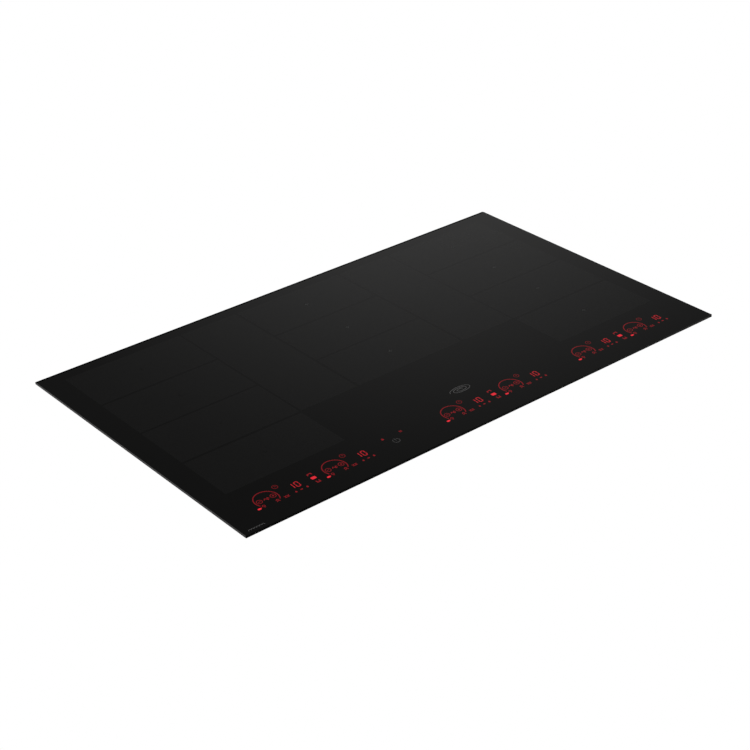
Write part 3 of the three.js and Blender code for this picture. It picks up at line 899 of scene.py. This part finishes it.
def add_flat_wire(bm, points, z, wide, high, sides=8):
    """A wire of oval section along a level path; points are (x, y)."""
    rings = []
    for i, (x, y) in enumerate(points):
        before, after = points[max(i - 1, 0)], points[min(i + 1, len(points) - 1)]
        run = Vector((after[0] - before[0], after[1] - before[1], 0)).normalized()
        across = Vector((-run.y, run.x, 0))
        ring = []
        for k in range(sides):
            t = 2 * math.pi * k / sides
            offset = across * wide * math.cos(t) + Vector((0, 0, high * math.sin(t)))
            ring.append(bm.verts.new(Vector((x, y, z)) + offset))
        rings.append(ring)
    for here, there in zip(rings, rings[1:]):
        for k in range(sides):
            j = (k + 1) % sides
            bm.faces.new((here[k], here[j], there[j], there[k]))
    bm.faces.new(rings[0])
    bm.faces.new(rings[-1])


# ---- wound coils with their sensors ----

COIL_TURNS = 11
COIL_EYE = (104 * MM, 16 * MM)
COIL_OUTER_CORNER = 42 * MM
COIL_EYE_CORNER = 7 * MM
COIL_WIRE = 1.55 * MM                   # half the width of the flattened strand


def coil_path(low, high, wire):
    """A spiral of rounded rectangles from the coil's outer edge in to its eye."""
    x, y = (low.x + high.x) / 2, (low.y + high.y) / 2
    outer = (high.x - low.x - 2 * wire, high.y - low.y - 2 * wire)
    inner = (COIL_EYE[0] + 2 * wire, COIL_EYE[1] + 2 * wire)
    per_turn = len(rounded(0, 0, 1, 1, 0.2))
    steps = COIL_TURNS * per_turn
    path = []
    for i in range(steps):
        share = i / (steps - 1)
        width, depth = (a + (b - a) * share for a, b in zip(outer, inner))
        corner = COIL_OUTER_CORNER + (COIL_EYE_CORNER - COIL_OUTER_CORNER) * share
        path.append(rounded(x, y, width, depth, min(corner, depth / 2 - wire / 2))[i % per_turn])
    return path


def make_coil(name, number):
    node = f"coil_{name}_{number}"
    low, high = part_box(node)
    tall = (high.z - low.z) / 2 - 0.05 * MM
    path = coil_path(low, high, COIL_WIRE)
    winding = mesh_from(
        f"coil_winding_{name}_{number}",
        lambda bm: add_flat_wire(bm, path, (low.z + high.z) / 2, COIL_WIRE, tall),
    )
    finish_piece(winding, FINISHES["litz_copper"], f"coil_bed_{name}", smooth=True)
    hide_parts(node)
    centre = ((low.x + high.x) / 2, (low.y + high.y) / 2, high.z - 0.45 * MM)
    profile = ((5.0 * MM, 0), (5.0 * MM, 0.3 * MM), (4.4 * MM, 0.5 * MM))
    sensor = mesh_from(f"coil_sensor_{name}_{number}", lambda bm: add_turned(bm, centre, (0, 0, 1), profile))
    finish_piece(sensor, FINISHES["aluminium"], f"coil_bed_{name}")


for block_name, _, block_rows in BLOCKS:
    for row_number in range(1, block_rows + 1):
        make_coil(block_name, row_number)

# ---- bow springs under the coil trays, built in the bowed shape they have while no tray presses them flat ----

STRIP_THICK = 0.8 * MM
STRIP_STEPS = 28


def add_bow_strip(bm, low, high):
    """A bowed strip between two corners: its ends below, its crown above, with narrowed tips."""
    rise = high.z - low.z - STRIP_THICK
    middle, half_depth = (low.y + high.y) / 2, (high.y - low.y) / 2
    rings = []
    for i in range(STRIP_STEPS + 1):
        across = i / STRIP_STEPS - 0.5
        x = low.x + (high.x - low.x) * (across + 0.5)
        z = low.z + rise * max(math.cos(across * math.pi), 0) ** 0.8
        reach = half_depth * (1 - 0.35 * (2 * abs(across)) ** 6)
        corners = ((-reach, 0), (reach, 0), (reach, STRIP_THICK), (-reach, STRIP_THICK))
        rings.append([bm.verts.new((x, middle + dy, z + dz)) for dy, dz in corners])
    for here, there in zip(rings, rings[1:]):
        for k in range(4):
            j = (k + 1) % 4
            bm.faces.new((here[k], here[j], there[j], there[k]))
    bm.faces.new(rings[0])
    bm.faces.new(rings[-1])


def make_tray_spring(name, end):
    node = f"tray_spring_{name}_{end}"
    low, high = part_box(node)
    strip = mesh_from(f"bow_strip_{name}_{end}", lambda bm: add_bow_strip(bm, low, high))
    finish_piece(strip, FINISHES["spring_steel"], "casing")
    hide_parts(node)
    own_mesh(strip)


for block_name, _, _ in BLOCKS:
    for spring_end in ("front", "back"):
        make_tray_spring(block_name, spring_end)

# ---- parts on the boards ----

BOARD_ROWS = 7
FILM_CAPACITOR = (26 * MM, 14 * MM, 20 * MM)
RELAY = (20 * MM, 15 * MM, 16 * MM)
CAN_RADIUS = 8 * MM
CAN_HEIGHT = 24 * MM
TRANSISTOR = (4.6 * MM, 15 * MM, 20 * MM)


def blocks_at(places, size, z):
    """A builder of equal softened boxes standing on height z at the given places."""
    def build(bm):
        for x, y in places:
            low = (x - size[0] / 2, y - size[1] / 2, z)
            add_block(bm, low, (x + size[0] / 2, y + size[1] / 2, z + size[2]))
    return build


def cans_at(places, z):
    profile = (
        (CAN_RADIUS, 0), (CAN_RADIUS, 1.6 * MM), (CAN_RADIUS * 0.94, 2.4 * MM),
        (CAN_RADIUS, 3.2 * MM), (CAN_RADIUS, CAN_HEIGHT - MM),
        (CAN_RADIUS * 0.9, CAN_HEIGHT), (CAN_RADIUS * 0.84, CAN_HEIGHT - 0.3 * MM),
    )

    def build(bm):
        for x, y in places:
            add_turned(bm, (x, y, z), (0, 0, 1), profile)
    return build


def free_span(name):
    """X range of a power board beside its heat sink, on the side with more room."""
    board_low, board_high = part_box(f"power_board_{name}")
    sink_low, sink_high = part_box(f"heat_sink_{name}")
    if sink_low.x - board_low.x >= board_high.x - sink_high.x:
        return board_low.x + 3 * MM, sink_low.x - 8 * MM
    return sink_high.x + 8 * MM, board_high.x - 3 * MM


def make_board_parts(name):
    low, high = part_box(f"power_board_{name}")
    left, right = free_span(name)
    pitch = (high.y - low.y - 24 * MM) / (BOARD_ROWS - 1)
    rows = [low.y + 12 * MM + pitch * i for i in range(BOARD_ROWS)]
    columns = [left + 16 * MM + 32 * MM * i for i in range(int((right - left) / (32 * MM)))]
    places = [(x, y) for y in rows for x in columns]
    parts = (
        ("film_capacitors", blocks_at(places[0::3], FILM_CAPACITOR, high.z), "pale_plastic"),
        ("relays", blocks_at(places[1::3], RELAY, high.z), "dark_plastic"),
        ("capacitor_cans", cans_at(places[2::3], high.z), "aluminium"),
    )
    for part, build, slot in parts:
        finish_piece(mesh_from(f"{part}_{name}", build), FINISHES[slot], "casing")
    sink_low, sink_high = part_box(f"heat_sink_{name}")
    x = sink_low.x - 3 * MM if right <= sink_low.x else sink_high.x + 3 * MM
    seats = [(x, sink_low.y + 14 * MM + 24 * MM * i) for i in range(7)]
    transistors = mesh_from(f"transistors_{name}", blocks_at(seats, TRANSISTOR, high.z))
    finish_piece(transistors, FINISHES["dark_plastic"], "casing")


def make_filter_parts():
    low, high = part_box("filter_board")
    choke_low, choke_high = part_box("filter_choke")
    places = [(choke_high.x + 20 * MM + 30 * MM * i, (low.y + high.y) / 2) for i in range(2)]
    places += [(choke_low.x - 20 * MM, (low.y + high.y) / 2)]
    caps = mesh_from("filter_capacitors", blocks_at(places, FILM_CAPACITOR, high.z))
    finish_piece(caps, FINISHES["pale_plastic"], "casing")


for block_name, _, _ in BLOCKS:
    make_board_parts(block_name)
make_filter_parts()

# ---- screws and the blank rating plate on the casing ----

SCREW_PROFILE = (
    (3.6 * MM, 0), (3.5 * MM, 0.6 * MM), (2.9 * MM, 1.4 * MM), (1.8 * MM, 1.9 * MM), (0.6 * MM, 2.0 * MM),
)
SCREW_HEIGHT = 43 * MM
SCREWS_FRONT = (-400, -260, -40, 40, 260, 400)      # millimetres from the middle
SCREWS_BACK = (-400, -260, -110, 110, 330, 400)
SCREWS_SIDE = (-215, -70, 70, 215)
PLATE_SPAN = (-301 * MM, -263 * MM)
PLATE_HEIGHTS = (10 * MM, 36 * MM)


def screw_seats():
    """Where the screws sit on the casing's walls, with the direction each faces."""
    front = [((x * MM, PAN_LOW.y, SCREW_HEIGHT), (0, -1, 0)) for x in SCREWS_FRONT]
    back = [((x * MM, PAN_HIGH.y, SCREW_HEIGHT), (0, 1, 0)) for x in SCREWS_BACK]
    frame_low, frame_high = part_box("support_frame")     # the pan's own box also holds the clips' ledges
    walls = ((frame_low.x, -1), (frame_high.x, 1))
    sides = [((x, y * MM, SCREW_HEIGHT), (sign, 0, 0)) for x, sign in walls for y in SCREWS_SIDE]
    return front + back + sides


def make_screws():
    def heads(bm):
        for seat, axis in screw_seats():
            add_turned(bm, seat, axis, SCREW_PROFILE, 20)

    def recesses(bm):
        for seat, axis in screw_seats():
            centre = Vector(seat) + Vector(axis) * 1.75 * MM
            upright = Vector((0, 0, 1))
            level = upright.cross(Vector(axis))
            for along, over in ((upright, level), (level, upright)):
                reach = along * 1.9 * MM + over * 0.4 * MM + Vector(axis) * 0.3 * MM
                reach = Vector(abs(v) for v in reach)
                add_block(bm, centre - reach, centre + reach, 0.05 * MM)

    screws = mesh_from("casing_screws", heads)
    finish_piece(screws, FINISHES["spring_steel"], "casing", smooth=True)
    crosses = mesh_from("screw_recesses", recesses)
    finish_piece(crosses, FINISHES["dark_plastic"], "casing")


def make_rating_plate():
    """A blank plate with ruled fields, without any lettering, beside the cable outlet."""
    y = PAN_HIGH.y
    (left, right), (low, high) = PLATE_SPAN, PLATE_HEIGHTS

    def plate(bm):
        add_block(bm, (left, y - 0.1 * MM, low), (right, y + 0.35 * MM, high), 0.1 * MM)

    def rules(bm):
        for i in range(6):
            z = low + (3 + 4 * i) * MM
            end = right - (3 + 7 * (i % 3)) * MM
            top = (end, y + 0.4 * MM, z + 0.7 * MM)
            add_block(bm, (left + 3 * MM, y + 0.3 * MM, z), top, 0.03 * MM)

    finish_piece(mesh_from("rating_plate", plate), FINISHES["aluminium"], "casing")
    finish_piece(mesh_from("rating_plate_rules", rules), FINISHES["dark_plastic"], "casing")


make_screws()
make_rating_plate()
